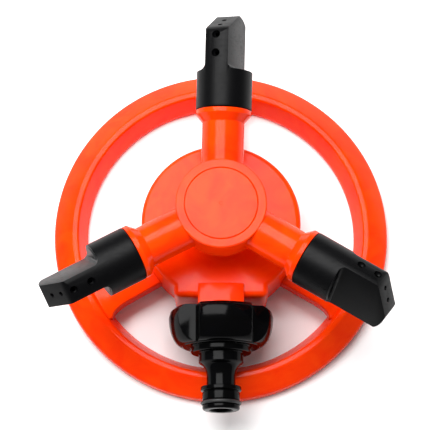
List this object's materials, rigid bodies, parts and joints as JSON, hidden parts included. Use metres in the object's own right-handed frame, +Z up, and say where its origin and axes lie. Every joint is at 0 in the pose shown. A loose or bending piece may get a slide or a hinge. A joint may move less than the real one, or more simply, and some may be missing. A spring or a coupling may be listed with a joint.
{
  "type": "garden sprinkler",
  "caption": "Rotary lawn sprinkler with a ring base, a three-arm rotor with turnable nozzles, and a screw-on click-fit hose connector.",
  "frame": {"origin": "on the rotor's axis at ground level, the centre of the base's centre foot", "axes": "+Z up along the rotor's axis, -Y out along the hose inlet, +X to the right seen from the inlet side"},
  "size_m": [0.1512, 0.1661, 0.0763],
  "materials": {
    "orange_plastic": "glossy injection-moulded polypropylene",
    "black_satin": "satin moulded plastic",
    "black_gloss": "glossy moulded plastic",
    "rubber": "moulded rubber",
    "acetal": "natural acetal",
    "steel": "zinc-plated steel"
  },
  "bodies": {
    "base": {"base_ring": "orange_plastic", "hub_housing": "orange_plastic", "hub_screw_1": "steel", "hub_screw_2": "steel", "hub_screw_3": "steel", "spindle": "acetal", "spindle_seal": "rubber", "lower_thrust_washer": "acetal", "upper_thrust_washer": "acetal", "retaining_nut": "steel"},
    "rotor": {"rotor_body": "orange_plastic", "rotor_cap": "orange_plastic", "cap_seal": "rubber"},
    "nozzle_1": {"nozzle_1": "black_satin", "nozzle_seal_1": "rubber"},
    "nozzle_2": {"nozzle_2": "black_satin", "nozzle_seal_2": "rubber"},
    "nozzle_3": {"nozzle_3": "black_satin", "nozzle_seal_3": "rubber"},
    "inlet_washer": {"inlet_washer": "rubber"},
    "hose_connector": {"hose_connector": "black_gloss", "nipple_o_ring": "rubber"}
  },
  "joints": [
    {"name": "rotor_spin", "type": "hinge", "parent": "base", "child": "rotor", "pos_m": [0, 0, 0.05], "axis": [0, 0, 1], "continuous": true},
    {"name": "nozzle_1_turn", "type": "hinge", "parent": "rotor", "child": "nozzle_1", "pos_m": [0.0011, 0.04202, 0.06138], "axis": [0.0261, 0.9959, 0.0872], "continuous": true},
    {"name": "nozzle_2_turn", "type": "hinge", "parent": "rotor", "child": "nozzle_2", "pos_m": [-0.03694, -0.02006, 0.06138], "axis": [-0.8755, -0.4753, 0.0872], "continuous": true},
    {"name": "nozzle_3_turn", "type": "hinge", "parent": "rotor", "child": "nozzle_3", "pos_m": [0.03584, -0.02197, 0.06138], "axis": [0.8494, -0.5205, 0.0872], "continuous": true},
    {"name": "connector_travel", "type": "slide", "parent": "base", "child": "inlet_washer", "axis": [0, -1, 0], "range_m": [0, 0.00591]},
    {"name": "connector_turn", "type": "hinge", "parent": "inlet_washer", "child": "hose_connector", "pos_m": [0, -0.05, 0.0257], "axis": [0, -1, 0], "range_deg": [0, 1170]}
  ],
  "couplings": [
    {"joint": "connector_travel", "follows": "connector_turn", "m_per_rad": 0.00028871}
  ]
}
